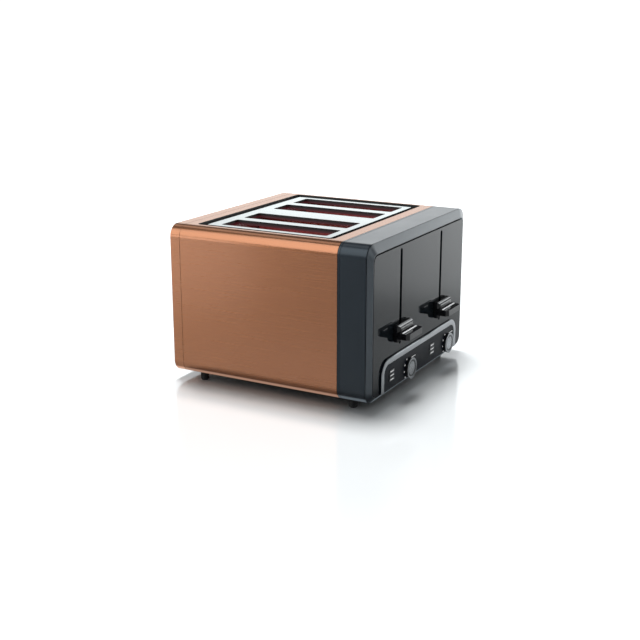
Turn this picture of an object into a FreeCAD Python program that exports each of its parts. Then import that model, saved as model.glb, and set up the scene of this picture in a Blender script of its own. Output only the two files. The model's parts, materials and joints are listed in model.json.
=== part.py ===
import FreeCAD, Part
import math
import os

from FreeCAD import Vector

# Four-slot pop up toaster.  Millimetres, +Z up, front (levers) towards -Y, +X to the right when
# looking at the front.  The origin is on the surface it stands on, under the middle of the box
# that holds the whole object.

# ---- overall sizes
WIDTH = 285.0
DEPTH = 290.0
HEIGHT = 196.0
FOOT_HEIGHT = 10.0
EDGE_RADIUS = 15.0
SHEET = 1.0

HALF = WIDTH / 2
REAR = DEPTH / 2
LEVER_TIP = -DEPTH / 2

# ---- stations along Y
BAND = 131.8
SEAM = -83.0
FRAME_FRONT = -120.2
PANEL = -124.2
SEAM_GAP = 0.5

# ---- front frame and its panel
FRAME_WALL = 3.0
BEZEL_SIDE = 9.3
BEZEL_TOP = 10.8
BEZEL_BOTTOM = 4.5
BEZEL_LIP = PANEL + 0.3
OPENING_HALF = 132.5
OPENING_LOW = 15.2
OPENING_HIGH = 184.4
OPENING_RADIUS = 9.0
PANEL_GAP = 0.5
PANEL_TOP_GAP = 1.7
CREASE = 1.0
PANEL_BACK = PANEL + 4.5
LEDGE_BACK = PANEL_BACK + 3.0
LEDGE_WIDTH = 4.0
WINDOW_RADIUS = 6.0
TONGUE_BACK = SEAM + 5.0
TONGUE_INSET = SHEET + 0.3
GROOVE_FRONT = SEAM - 3.4
GROOVE_BACK = SEAM - 2.8
GROOVE_DEPTH = 0.5
OVERCUT = 1.0

# ---- control band at the foot of the front panel
BAND_HALF = 112.8
BAND_HIGH = 54.5
BAND_RADIUS = 18.0
TRIM_WIDTH = 6.8
TRIM_PROUD = 2.4
TRIM_EDGE = 0.5
CONTROL_FACE = PANEL - 1.6
CONTROL_BACK = PANEL + 3.4
LOOSE = 0.15
TRIM_SEAT = 0.02

# ---- well and toast slots in the top
WELL_HALF = 124.0
WELL_FRONT = -68.2
WELL_REAR = 119.0
WELL_RADIUS = 6.0
WELL_FIT = 0.05
WELL_FLOOR = HEIGHT - 4.5
SURROUND_BOTTOM = HEIGHT - 7.0
SURROUND_LAP = 1.5
SURROUND_LAP_Y = 4.0
PLATE_HALF = 113.5
PLATE_FRONT = -58.5
PLATE_REAR = 110.3
PLATE_TOP = HEIGHT - 1.4
PLATE_RADIUS = 2.5
TOP_SHEET = 0.6
HOLLOW_INSET = 0.6
PLINTH_INSET = 1.0
PLINTH_RADIUS = 2.0
PLINTH_MARGIN = 0.4
SLOT_WIDTH = 37.0
SLOT_FRONT = -49.5
SLOT_REAR = 95.5
SLOT_RADIUS = 2.5
PAIR_X = 61.4
SLOT_PITCH = 51.4
SLOT_OFFSETS = (-SLOT_PITCH / 2, SLOT_PITCH / 2)

# ---- toasting chambers
BULKHEAD_FRONT = -57.0
BULKHEAD_REAR = 102.0
BULKHEAD_SHEET = 1.2
BULKHEAD_HALF = 134.0
CHAMBER_LOW = 28.0
CHAMBER_HIGH = 187.0
TRAY_CLEAR = 3.0
RACK_SLOT = 10.0
RACK_SLOT_SPARE = 6.0
SHELF_LOW = 186.0
SHELF_REACH = 8.0
BOARD_SHEET = 0.8
BOARD_LOW = 52.0
BOARD_HIGH = 178.0
BOARD_FRONT = -54.0
BOARD_REAR = 100.0
RIBBON_ROWS = 12
RIBBON_WIDTH = 1.6
RIBBON_SHEET = 0.3
RIBBON_LOW = BOARD_LOW + 6.0
RIBBON_SPAN = BOARD_HIGH - BOARD_LOW - 14.0
RIBBON_CROWDING = 1.25
NOTCH = 2.0
REFLECTOR_X = 119.0

# ---- carriages: bracket, bread racks, lever, armature
TRAVEL = 80.0
LEVER_X = 59.5
LEVER_SLOT_WIDTH = 6.0
LEVER_SLOT_LOW = 63.5
LEVER_SLOT_HIGH = 179.5
PADDLE_WIDTH = 42.0
PADDLE_LOW = 75.0
PADDLE_HIGH = 82.4
PADDLE_CHAMFER = 3.5
PADDLE_ROOT = 6.0
HUB_WIDTH = 39.0
HUB_LOW = 70.5
HUB_HIGH = 91.0
HUB_BACK = PANEL - 0.8
HUB_FRONT = -133.5
HUB_ROUND = 5.0
NECK_WIDTH = 4.6
NECK_LOW = 76.0
NECK_HIGH = 88.0
NECK_BACK = -110.0
STRIPE_WIDTH = 38.0
STRIPE_DEPTH = 1.8
STRIPE_SET = 4.0
STRIPE_HEIGHT = 1.0
STRIPE_PROUD = 0.5
STRIPE_FIT = 0.05
PLATE_Y = -69.0
PLATE_SHEET = 1.5
ARM_WIDTH = 2.0
RACK_HALF = 3.5
RACK_TOP = 60.0
RACK_SHEET = 1.5
RACK_DEPTH = 8.0
RACK_FRONT = -67.5
RACK_REAR = 95.0
REST_COUNT = 7
REST_FIRST = SLOT_FRONT + 6.0
REST_PITCH = 20.0
REST_WIDTH = 3.0
REST_HEIGHT = 4.5
STRIP_DROP = 3.0
ROD_RADIUS = 3.0
ROD_X = 78.0
ROD_Y = -79.0
ROD_CLEARANCE = 0.05
BUSH_RADIUS = 6.0
BUSH_LOW = 66.0
BUSH_HIGH = 94.0
SPRING_X = 96.0
SPRING_Y = -79.0
SPRING_LOW = 66.0
SPRING_RADIUS = 4.0
SPRING_WIRE = 0.8
BRACKET_NEAR = 30.0
BRACKET_FAR = 101.0
BRACKET_LOW = RACK_TOP - RACK_DEPTH
BRACKET_HIGH = NECK_HIGH + 6.0
WEB_HALF = 2.0
TAB_HALF = 4.0
TAB_SHEET = 2.0
MAGNET_X = 36.0
MAGNET_Y = -89.0
MAGNET_TOP = 40.0
MAGNET_GAP = 0.3
YOKE_X = 13.0
YOKE_Y = 9.0
YOKE_SHEET = 3.0
COIL_RADIUS = 8.0
COIL_TOP = MAGNET_TOP - 4.0
CORE_RADIUS = 4.5
KEEPER_X = 8.0
KEEPER_Y = 6.5
KEEPER_SHEET = 3.0
KEEPER_TAB = 6.0
STEM_RADIUS = 2.0

# ---- bread guides: wire cages hinged at the bottom of each slot
GUIDE_X = 14.5
GUIDE_LOW = 64.0
GUIDE_HIGH = 172.0
GUIDE_LEAN = math.degrees(math.atan2(7.0, GUIDE_HIGH - GUIDE_LOW))
GUIDE_WIRE = 1.0
GUIDE_UPRIGHT = 0.8
GUIDE_END = 4.0
GUIDE_FRONT = -51.0
GUIDE_REAR = 98.0
GUIDE_WIRES = 6
GUIDE_SIDES = (-1, 1)

# ---- dials and buttons
DIAL_SHIFT = 26.2
DIAL_Z = 26.2
DIAL_RADIUS = 12.5
DIAL_BACK = CONTROL_FACE - 0.2
DIAL_FRONT = PANEL - 4.2
RING_FRONT = PANEL - 5.2
RING_RADIUS = 13.0
SHAFT_RADIUS = 3.0
SHAFT_HOLE = 3.4
SHAFT_BACK = -115.2
FLUTES = 36
FLUTE_RADIUS = 0.45
RIM_WIDTH = 2.0
DISH_DEPTH = 0.4
MARK_DEPTH = 0.6
MARK_HALF = 0.5
MARK_LOW = 5.0
MARK_HIGH = 10.0
BUTTON_SHIFT = -25.4
BUTTON_TOP = 37.0
BUTTON_PITCH = 5.0
BUTTON_WIDTH = 13.0
BUTTON_TALL = 3.6
BUTTON_ROUND = 1.0
BUTTON_FRONT = CONTROL_FACE - 0.8
BUTTON_BACK = PANEL + 6.0
BUTTON_SLACK = 0.25
BUTTON_ROWS = 3
BUTTON_EAR = 1.4
EAR_THIN = 0.6
EAR_PLAY = 0.1
PCB_FRONT = -114.2
PCB_BACK = -112.6
PCB_HALF = 112.0
PCB_LOW = 19.5
PCB_HIGH = 50.0
POT_HALF = 8.0
POT_DEPTH = 6.0
KEY_HALF = 3.0
KEY_TALL = 2.0
KEY_DEPTH = 2.2

# ---- base, crumb tray, rear
BASE_HALF = 126.6
BASE_TOP = 13.0
BASE_FRONT = TONGUE_BACK + 0.5
BASE_REAR = BAND - 1.5
BASE_VENTS = 8
BASE_VENT_FIRST = -30.0
BASE_VENT_PITCH = 16.0
BASE_VENT_WIDTH = 5.0
BASE_VENT_HALF = 30.0
LIP_HALF = 127.0
FOOT_RADIUS = 5.0
FOOT_EDGE = 1.0
FOOT_X = 125.0
FOOT_YS = (-96.0, 112.0)
SCREW_X = BASE_HALF - 9.0
SCREW_YS = (-58.0, -8.0, 42.0, 92.0)
SCREW_RADIUS = 3.2
SCREW_HEAD = 1.8
CROSS_DEPTH = 1.0
CROSS_LONG = 2.0
CROSS_THIN = 0.4
TRAY_HALF = 112.0
TRAY_LOW = 15.0
TRAY_HIGH = 24.0
TRAY_FRONT = -53.0
TRAY_SHEET = 0.8
TRAY_PASS = 1.5
TRAY_PLAY = 0.6
HANDLE_LOW = TRAY_LOW - 0.3
HANDLE_HIGH = TRAY_HIGH + 1.2
HANDLE_RADIUS = 1.5
HANDLE_LAP = 1.0
GRIP_HALF = 26.0
GRIP_LOW = TRAY_LOW + 2.2
GRIP_HIGH = TRAY_HIGH - 1.2
GRIP_RADIUS = 2.0
REAR_FACE = 143.0
REAR_WALL = 3.0
REAR_RIM = 3.5
REAR_INSET = SHEET + 0.3
GLAND_X = -96.0
GLAND_Z = 46.0
GLAND_RADIUS = 8.0
GLAND_BORE = 3.6
GLAND_FRONT = 133.0
GLAND_REAR = 145.0
COLLAR = 2.0
COLLAR_FIT = 0.05
VENT_COUNT = 14
VENT_PITCH = 12.0
VENT_WIDTH = 3.5
VENT_ROWS = ((96.0, 116.0), (124.0, 144.0))

SIDES = (("left", -1), ("right", 1))
NEARLY = 0.99
TOUCH = 0.01


# ---- shape helpers

def box(x0, x1, y0, y1, z0, z1):
    """A box between two corners."""
    return Part.makeBox(x1 - x0, y1 - y0, z1 - z0, Vector(x0, y0, z0))


def outline(a0, a1, b0, b1, radius, place):
    """A closed wire round a rectangle with rounded corners; place(a, b) gives its points."""
    near = radius * (1 - math.cos(math.pi / 4))
    corners = (
        ((a1 - radius, b0), (a1 - near, b0 + near), (a1, b0 + radius)),
        ((a1, b1 - radius), (a1 - near, b1 - near), (a1 - radius, b1)),
        ((a0 + radius, b1), (a0 + near, b1 - near), (a0, b1 - radius)),
        ((a0, b0 + radius), (a0 + near, b0 + near), (a0 + radius, b0)),
    )
    edges = []
    for index, (start, middle, end) in enumerate(corners):
        following = corners[(index + 1) % len(corners)][0]
        edges.append(Part.Arc(place(*start), place(*middle), place(*end)).toShape())
        if math.dist(end, following) > TOUCH / 100:
            edges.append(Part.LineSegment(place(*end), place(*following)).toShape())
    return Part.Wire(edges)


def section(x0, x1, z0, z1, radius, y):
    """A rounded rectangle standing in the XZ plane at y."""
    return outline(x0, x1, z0, z1, radius, lambda a, b: Vector(a, y, b))


def prism_y(x0, x1, z0, z1, radius, y0, y1):
    """A rounded rectangle run along Y."""
    return Part.Face(section(x0, x1, z0, z1, radius, y0)).extrude(Vector(0, y1 - y0, 0))


def prism_z(x0, x1, y0, y1, radius, z0, z1):
    """A rounded rectangle run along Z."""
    wire = outline(x0, x1, y0, y1, radius, lambda a, b: Vector(a, b, z0))
    return Part.Face(wire).extrude(Vector(0, 0, z1 - z0))


def body_prism(inset, y0, y1):
    """The body's rounded section, moved in by inset, run along Y."""
    side = HALF - inset
    radius = EDGE_RADIUS - inset
    return prism_y(-side, side, FOOT_HEIGHT + inset, HEIGHT - inset, radius, y0, y1)


def ring_groove(y0, y1, depth):
    """Cutter for a groove that runs round the body between y0 and y1."""
    outside = body_prism(-OVERCUT, y0, y1)
    return outside.cut(body_prism(depth, y0 - OVERCUT, y1 + OVERCUT))


def arch(half, high, radius, low, y0, y1):
    """A flat-bottomed block with its two upper corners rounded, run along Y."""
    tall = prism_y(-half, half, low - 2 * radius, high, radius, y0, y1)
    return tall.common(box(-half, half, y0, y1, low, high))


def rod_y(x, z, radius, y0, y1):
    """A round bar along Y."""
    return Part.makeCylinder(radius, y1 - y0, Vector(x, y0, z), Vector(0, 1, 0))


def rod_z(x, y, radius, z0, z1):
    """A round bar along Z."""
    return Part.makeCylinder(radius, z1 - z0, Vector(x, y, z0), Vector(0, 0, 1))


def edges_where(shape, test):
    """The edges whose two ends both pass test."""
    return [edge for edge in shape.Edges if all(test(v.Point) for v in edge.Vertexes)]


def slot_centres(side):
    """X of the two toast slots of one pair."""
    return [side * PAIR_X + offset for offset in SLOT_OFFSETS]


# ---- casing

def outer_shell():
    """Wrap-round sheet, open at both ends, along the bottom and over the toast slots."""
    shell = body_prism(0, SEAM, BAND - SEAM_GAP).cut(body_prism(SHEET, SEAM - OVERCUT, BAND))
    shell = shell.cut(box(-LIP_HALF, LIP_HALF, SEAM - OVERCUT, BAND, 0,
                          FOOT_HEIGHT + 2 * SHEET))
    return shell.cut(well_prism(0, HEIGHT - 2 * SHEET, HEIGHT + OVERCUT))


def well_prism(inset, z0, z1):
    """The well's outline, moved in by inset, run along Z."""
    return prism_z(-WELL_HALF + inset, WELL_HALF - inset, WELL_FRONT + inset, WELL_REAR - inset,
                   WELL_RADIUS - inset, z0, z1)


def rear_band():
    """Narrow ring of the same sheet round the rear end."""
    return body_prism(0, BAND, REAR).cut(body_prism(SHEET, BAND - OVERCUT, REAR + OVERCUT))


def rear_panel():
    """Dish-shaped end cover with vents, the tray's way out and the gland's hole."""
    back = REAR_FACE - REAR_WALL
    panel = body_prism(REAR_INSET, back - REAR_RIM, REAR_FACE)
    panel = panel.cut(body_prism(REAR_INSET + REAR_WALL, back - 2 * REAR_RIM, back))
    way = box(-TRAY_HALF - TRAY_PASS, TRAY_HALF + TRAY_PASS, BAND, REAR + OVERCUT,
              TRAY_LOW - TRAY_PLAY, TRAY_HIGH + TRAY_PASS)
    cuts = [way, rod_y(GLAND_X, GLAND_Z, GLAND_RADIUS, BAND, REAR + OVERCUT)]
    first = -(VENT_COUNT - 1) * VENT_PITCH / 2
    for low, high in VENT_ROWS:
        for index in range(VENT_COUNT):
            x = first + index * VENT_PITCH
            half = VENT_WIDTH / 2
            cuts.append(prism_y(x - half, x + half, low, high, half * NEARLY, back - OVERCUT,
                                REAR))
    return panel.cut(cuts)


def cord_gland():
    """Bush that the mains lead passes through."""
    bush = rod_y(GLAND_X, GLAND_Z, GLAND_RADIUS - LOOSE, GLAND_FRONT, GLAND_REAR)
    wide = GLAND_RADIUS + COLLAR
    collar = rod_y(GLAND_X, GLAND_Z, wide, REAR_FACE + COLLAR_FIT, REAR_FACE + COLLAR / 2)
    flange = rod_y(GLAND_X, GLAND_Z, wide, GLAND_FRONT, REAR_FACE - REAR_WALL - COLLAR_FIT)
    bore = rod_y(GLAND_X, GLAND_Z, GLAND_BORE, GLAND_FRONT - OVERCUT, GLAND_REAR + OVERCUT)
    return bush.fuse([collar, flange]).removeSplitter().cut(bore)


def front_frame():
    """Thick end frame: outer band, sloped bezel, ledge behind the panel, tongue in the shell."""
    band = body_prism(0, FRAME_FRONT, SEAM - SEAM_GAP)
    rear_wire = section(-HALF, HALF, FOOT_HEIGHT, HEIGHT, EDGE_RADIUS, FRAME_FRONT)
    side = HALF - BEZEL_SIDE
    front_wire = section(-side, side, FOOT_HEIGHT + BEZEL_BOTTOM, HEIGHT - BEZEL_TOP,
                         OPENING_RADIUS + 1, BEZEL_LIP)
    bezel = Part.makeLoft([front_wire, rear_wire], True, True)
    tongue = body_prism(TONGUE_INSET, SEAM - SEAM_GAP, TONGUE_BACK)
    frame = band.fuse([bezel, tongue]).removeSplitter()
    opening = prism_y(-OPENING_HALF, OPENING_HALF, OPENING_LOW, OPENING_HIGH, OPENING_RADIUS,
                      PANEL - OVERCUT, PANEL_BACK)
    crease = ring_groove(FRAME_FRONT, FRAME_FRONT + CREASE, CREASE)
    inner = OPENING_HALF - LEDGE_WIDTH
    window = prism_y(-inner, inner, OPENING_LOW + LEDGE_WIDTH, OPENING_HIGH - LEDGE_WIDTH,
                     WINDOW_RADIUS, PANEL - OVERCUT, TONGUE_BACK)
    hollow = body_prism(FRAME_WALL, LEDGE_BACK, TONGUE_BACK + OVERCUT)
    groove = ring_groove(GROOVE_FRONT, GROOVE_BACK, GROOVE_DEPTH)
    return frame.cut([opening, window, hollow, groove, crease])


def front_panel():
    """Flat panel with two lever slots and the cut-out for the control band."""
    panel = prism_y(-OPENING_HALF + PANEL_GAP, OPENING_HALF - PANEL_GAP, OPENING_LOW + PANEL_GAP,
                    OPENING_HIGH - PANEL_TOP_GAP, OPENING_RADIUS - PANEL_GAP, PANEL, PANEL_BACK)
    cuts = [arch(BAND_HALF + LOOSE, BAND_HIGH + LOOSE, BAND_RADIUS, 0, PANEL - OVERCUT,
                 PANEL_BACK + OVERCUT)]
    half = LEVER_SLOT_WIDTH / 2
    for _, side in SIDES:
        x = side * LEVER_X
        cuts.append(prism_y(x - half, x + half, LEVER_SLOT_LOW, LEVER_SLOT_HIGH, half * NEARLY,
                            PANEL - OVERCUT, PANEL_BACK + OVERCUT))
    return panel.cut(cuts)


def control_trim():
    """Bright band on the control panel's edge, with its two legs running down."""
    low = OPENING_LOW + PANEL_GAP
    front = PANEL - TRIM_PROUD
    outer = arch(BAND_HALF, BAND_HIGH, BAND_RADIUS, low, front, CONTROL_FACE - TRIM_SEAT)
    inner = arch(BAND_HALF - TRIM_WIDTH, BAND_HIGH - TRIM_WIDTH, BAND_RADIUS - TRIM_WIDTH,
                 low - OVERCUT, front - OVERCUT, CONTROL_FACE + OVERCUT)
    trim = outer.cut(inner)
    rim = edges_where(trim, lambda p: p.y < front + TOUCH and p.z > low + TOUCH)
    return trim.makeChamfer(TRIM_EDGE, rim)


def control_panel():
    """Raised panel under the trim, with holes for the dial shafts and the buttons."""
    panel = arch(BAND_HALF, BAND_HIGH, BAND_RADIUS, OPENING_LOW + PANEL_GAP, CONTROL_FACE,
                 CONTROL_BACK)
    cuts = []
    for _, side in SIDES:
        cuts.append(rod_y(dial_centre(side), DIAL_Z, SHAFT_HOLE, CONTROL_FACE - OVERCUT,
                          CONTROL_BACK + OVERCUT))
        for row in range(BUTTON_ROWS):
            x, z = button_place(side, row)
            half = BUTTON_WIDTH / 2 + BUTTON_SLACK
            tall = BUTTON_TALL / 2 + BUTTON_SLACK
            cuts.append(prism_y(x - half, x + half, z - tall, z + tall, BUTTON_ROUND,
                                CONTROL_FACE - OVERCUT, CONTROL_BACK + OVERCUT))
    return panel.cut(cuts)


def top_surround():
    """Black tray in the well: its rim lines the shell's edge, its floor has the slots."""
    low, high = SURROUND_BOTTOM, HEIGHT - SHEET - WELL_FIT
    side = WELL_HALF + SURROUND_LAP
    tray = prism_z(-side, side, WELL_FRONT - SURROUND_LAP_Y, WELL_REAR + SURROUND_LAP_Y,
                   WELL_RADIUS, low, high)
    rim = well_prism(WELL_FIT, low, HEIGHT - WELL_FIT)
    hollow = well_prism(HOLLOW_INSET, WELL_FLOOR, HEIGHT)
    inset = PLINTH_INSET
    plinth = prism_z(-PLATE_HALF + inset, PLATE_HALF - inset, PLATE_FRONT + inset,
                     PLATE_REAR - inset, PLINTH_RADIUS, low, PLATE_TOP - TOP_SHEET)
    tray = tray.fuse(rim).cut(hollow).fuse(plinth).removeSplitter()
    return tray.cut(slot_holes(PLINTH_MARGIN, low - OVERCUT, HEIGHT))


def slot_holes(margin, z0, z1):
    """The four toast slots as cutters, widened by margin."""
    holes = []
    half = SLOT_WIDTH / 2 + margin
    for _, side in SIDES:
        for x in slot_centres(side):
            holes.append(prism_z(x - half, x + half, SLOT_FRONT - margin, SLOT_REAR + margin,
                                 SLOT_RADIUS, z0, z1))
    return holes


def top_plate():
    """Bright sheet round the four toast slots."""
    sheet = prism_z(-PLATE_HALF, PLATE_HALF, PLATE_FRONT, PLATE_REAR, PLATE_RADIUS,
                    PLATE_TOP - TOP_SHEET, PLATE_TOP)
    return sheet.cut(slot_holes(0, 0, HEIGHT))


def base_plate():
    """Bottom cover inside the shell, vented under the chambers."""
    plate = box(-BASE_HALF, BASE_HALF, BASE_FRONT, BASE_REAR, FOOT_HEIGHT, BASE_TOP)
    cuts = []
    for index in range(BASE_VENTS):
        y = BASE_VENT_FIRST + index * BASE_VENT_PITCH
        for _, side in SIDES:
            x = side * PAIR_X
            cuts.append(box(x - BASE_VENT_HALF, x + BASE_VENT_HALF, y, y + BASE_VENT_WIDTH, 0,
                            BASE_TOP + OVERCUT))
    return plate.cut(cuts)


def foot(x, y):
    """Rubber foot with a softened lower edge."""
    pad = rod_z(x, y, FOOT_RADIUS, 0, FOOT_HEIGHT)
    return pad.makeChamfer(FOOT_EDGE, edges_where(pad, lambda p: p.z < TOUCH))


def feet():
    """The four feet."""
    return Part.makeCompound([foot(side * FOOT_X, y) for _, side in SIDES for y in FOOT_YS])


# ---- chassis and heating

def front_bulkhead():
    """Sheet wall in front of the chambers: rack slots open at the foot, and the rods' shelf."""
    wall = box(-BULKHEAD_HALF, BULKHEAD_HALF, BULKHEAD_FRONT, BULKHEAD_FRONT + BULKHEAD_SHEET,
               BASE_TOP, CHAMBER_HIGH + BULKHEAD_SHEET)
    shelf = box(-BULKHEAD_HALF, BULKHEAD_HALF, ROD_Y - SHELF_REACH, BULKHEAD_FRONT, SHELF_LOW,
                SHELF_LOW + BULKHEAD_SHEET)
    cuts = [tray_way(BULKHEAD_FRONT)]
    for _, side in SIDES:
        for x in slot_centres(side):
            half = RACK_SLOT / 2
            cuts.append(box(x - half, x + half, BULKHEAD_FRONT - OVERCUT,
                            BULKHEAD_FRONT + BULKHEAD_SHEET + OVERCUT, 0,
                            RACK_TOP + TRAVEL + RACK_SLOT_SPARE))
    return wall.fuse(shelf).removeSplitter().cut(cuts)


def tray_way(y):
    """Cutter that lets the crumb tray through the foot of a bulkhead at y."""
    half = TRAY_HALF + TRAY_CLEAR
    return box(-half, half, y - OVERCUT, y + BULKHEAD_SHEET + OVERCUT, 0, CHAMBER_LOW)


def rear_bulkhead():
    """Sheet wall behind the chambers."""
    wall = box(-BULKHEAD_HALF, BULKHEAD_HALF, BULKHEAD_REAR, BULKHEAD_REAR + BULKHEAD_SHEET,
               BASE_TOP, CHAMBER_HIGH + BULKHEAD_SHEET)
    return wall.cut(tray_way(BULKHEAD_REAR))


def chamber_wall(x):
    """Polished sheet that closes one side of a chamber."""
    half = BOARD_SHEET / 2
    return box(x - half, x + half, BULKHEAD_FRONT + BULKHEAD_SHEET, BULKHEAD_REAR, CHAMBER_LOW,
               CHAMBER_HIGH)


def reflectors():
    """Outer walls of the two chambers and the wall between them."""
    return Part.makeCompound([chamber_wall(x) for x in (-REFLECTOR_X, 0, REFLECTOR_X)])


def board_places():
    """X of the six heater boards, with the sides of each that carry ribbon."""
    places = []
    for name, side in SIDES:
        middle = side * PAIR_X
        places.append((f"{name}_inner", middle - side * SLOT_PITCH, (side,)))
        places.append((f"{name}_middle", middle, (-1, 1)))
        places.append((f"{name}_outer", middle + side * SLOT_PITCH, (-side,)))
    return places


def heater_board(x):
    """Thin mica board with notched ends."""
    half = BOARD_SHEET / 2
    board = box(x - half, x + half, BOARD_FRONT, BOARD_REAR, BOARD_LOW, BOARD_HIGH)
    notches = []
    for row in range(RIBBON_ROWS):
        z = ribbon_z(row) - RIBBON_WIDTH / 2
        for y in (BOARD_FRONT - OVERCUT, BOARD_REAR - NOTCH):
            notches.append(box(x - BOARD_SHEET, x + BOARD_SHEET, y, y + NOTCH + OVERCUT, z,
                               z + RIBBON_WIDTH))
    return board.cut(notches)


def ribbon_z(row):
    """Height of one pass of ribbon: the rows are closer together at the foot."""
    share = row / (RIBBON_ROWS - 1)
    return RIBBON_LOW + RIBBON_SPAN * share ** RIBBON_CROWDING


def heater_ribbons():
    """Flat resistance ribbon lying along the boards, one solid for each pass."""
    passes = []
    for _, x, faces in board_places():
        for face in faces:
            near = x + face * BOARD_SHEET / 2
            far = near + face * RIBBON_SHEET
            for row in range(RIBBON_ROWS):
                z = ribbon_z(row)
                half = RIBBON_WIDTH / 2
                passes.append(box(min(near, far), max(near, far), BOARD_FRONT + 1.5 * NOTCH,
                                  BOARD_REAR - 1.5 * NOTCH, z - half, z + half))
    return Part.makeCompound(passes)


def guide_rods():
    """One upright rod for each carriage."""
    return Part.makeCompound([rod_z(side * ROD_X, ROD_Y, ROD_RADIUS, BASE_TOP, SHELF_LOW)
                              for _, side in SIDES])


def electromagnet(side):
    """Coil on a steel core that holds the carriage down while it toasts."""
    x = side * MAGNET_X
    foot_top = BASE_TOP + YOKE_SHEET
    yoke = box(x - YOKE_X, x + YOKE_X, MAGNET_Y - YOKE_Y, MAGNET_Y + YOKE_Y, BASE_TOP, foot_top)
    coil = rod_z(x, MAGNET_Y, COIL_RADIUS, foot_top, COIL_TOP)
    core = rod_z(x, MAGNET_Y, CORE_RADIUS, foot_top, MAGNET_TOP)
    return yoke.fuse([coil, core]).removeSplitter()


def control_board():
    """Circuit board behind the control panel, with its potentiometers and key switches."""
    board = box(-PCB_HALF, PCB_HALF, PCB_FRONT, PCB_BACK, PCB_LOW, PCB_HIGH)
    parts = []
    for _, side in SIDES:
        dial_x = dial_centre(side)
        parts.append(box(dial_x - POT_HALF, dial_x + POT_HALF, PCB_BACK, PCB_BACK + POT_DEPTH,
                         DIAL_Z - POT_HALF, DIAL_Z + POT_HALF))
        for row in range(BUTTON_ROWS):
            x, z = button_place(side, row)
            parts.append(box(x - KEY_HALF, x + KEY_HALF, PCB_FRONT - KEY_DEPTH, PCB_FRONT,
                             z - KEY_TALL, z + KEY_TALL))
    return board.fuse(parts).removeSplitter()


def screws():
    """Pan-head screws up through the base plate."""
    heads = []
    for _, side in SIDES:
        for y in SCREW_YS:
            x = side * SCREW_X
            low = FOOT_HEIGHT - SCREW_HEAD
            head = rod_z(x, y, SCREW_RADIUS, low, FOOT_HEIGHT)
            cross = []
            for half_x, half_y in ((CROSS_LONG, CROSS_THIN), (CROSS_THIN, CROSS_LONG)):
                cross.append(box(x - half_x, x + half_x, y - half_y, y + half_y, 0,
                                 low + CROSS_DEPTH))
            heads.append(head.cut(cross))
    return Part.makeCompound(heads)


# ---- carriages

def carriage_bracket(side):
    """Pressed bracket: plate, bush on the rod, arm to the lever, spring and magnet tabs."""
    x0, x1 = sorted((side * BRACKET_NEAR, side * BRACKET_FAR))
    back = PLATE_Y + PLATE_SHEET
    plate = box(x0, x1, PLATE_Y, back, BRACKET_LOW, BRACKET_HIGH)
    arm_x = side * LEVER_X
    arm = box(arm_x - ARM_WIDTH / 2, arm_x + ARM_WIDTH / 2, NECK_BACK, PLATE_Y, NECK_LOW,
              NECK_HIGH)
    bush = rod_z(side * ROD_X, ROD_Y, BUSH_RADIUS, BUSH_LOW, BUSH_HIGH)
    web = box(side * ROD_X - WEB_HALF, side * ROD_X + WEB_HALF, ROD_Y, PLATE_Y, BUSH_LOW,
              BUSH_HIGH)
    spring_tab = box(side * SPRING_X - TAB_HALF, side * SPRING_X + TAB_HALF,
                     SPRING_Y - TAB_HALF, PLATE_Y, SPRING_LOW - TAB_SHEET, SPRING_LOW)
    magnet_tab = box(side * MAGNET_X - KEEPER_TAB, side * MAGNET_X + KEEPER_TAB,
                     MAGNET_Y - KEEPER_TAB, PLATE_Y, BRACKET_LOW, BRACKET_LOW + PLATE_SHEET)
    bracket = plate.fuse([arm, bush, web, spring_tab, magnet_tab]).removeSplitter()
    return bracket.cut(rod_z(side * ROD_X, ROD_Y, ROD_RADIUS + ROD_CLEARANCE, 0, HEIGHT))


def armature(side):
    """Soft iron keeper hanging under the bracket, on the magnet's core when latched."""
    x = side * MAGNET_X
    low = MAGNET_TOP + MAGNET_GAP
    top = low + KEEPER_SHEET
    keeper = box(x - KEEPER_X, x + KEEPER_X, MAGNET_Y - KEEPER_Y, MAGNET_Y + KEEPER_Y, low, top)
    stem = rod_z(x, MAGNET_Y, STEM_RADIUS, top, BRACKET_LOW)
    return keeper.fuse(stem).removeSplitter()


def bread_racks(side):
    """The two toothed strips that the bread stands on."""
    strips = []
    for x in slot_centres(side):
        strip = box(x - RACK_SHEET / 2, x + RACK_SHEET / 2, RACK_FRONT, RACK_REAR,
                    BRACKET_LOW, RACK_TOP - STRIP_DROP)
        rests = []
        for index in range(REST_COUNT):
            y = REST_FIRST + index * REST_PITCH
            rests.append(box(x - RACK_HALF, x + RACK_HALF, y, y + REST_WIDTH,
                             RACK_TOP - REST_HEIGHT, RACK_TOP))
        strips.append(strip.fuse(rests).removeSplitter())
    return Part.makeCompound(strips)


def lever(side):
    """Moulded finger lever: wide paddle, thicker hub, neck through the panel's slot."""
    x = side * LEVER_X
    hub = box(x - HUB_WIDTH / 2, x + HUB_WIDTH / 2, HUB_FRONT, HUB_BACK, HUB_LOW, HUB_HIGH)
    hub = hub.makeFillet(HUB_ROUND, edges_where(hub, lambda p: p.y < HUB_FRONT + TOUCH))
    half = PADDLE_WIDTH / 2
    paddle = box(x - half, x + half, LEVER_TIP, HUB_FRONT + PADDLE_ROOT, PADDLE_LOW,
                 PADDLE_HIGH)
    upright = [edge for edge in edges_where(paddle, lambda p: p.y < LEVER_TIP + TOUCH)
               if abs(edge.Vertexes[0].Z - edge.Vertexes[1].Z) > TOUCH]
    paddle = paddle.makeChamfer(PADDLE_CHAMFER, upright)
    neck = box(x - NECK_WIDTH / 2, x + NECK_WIDTH / 2, HUB_BACK, NECK_BACK, NECK_LOW, NECK_HIGH)
    body = hub.fuse([paddle, neck]).removeSplitter()
    return body.cut(stripe_block(side, 0.0))


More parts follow.
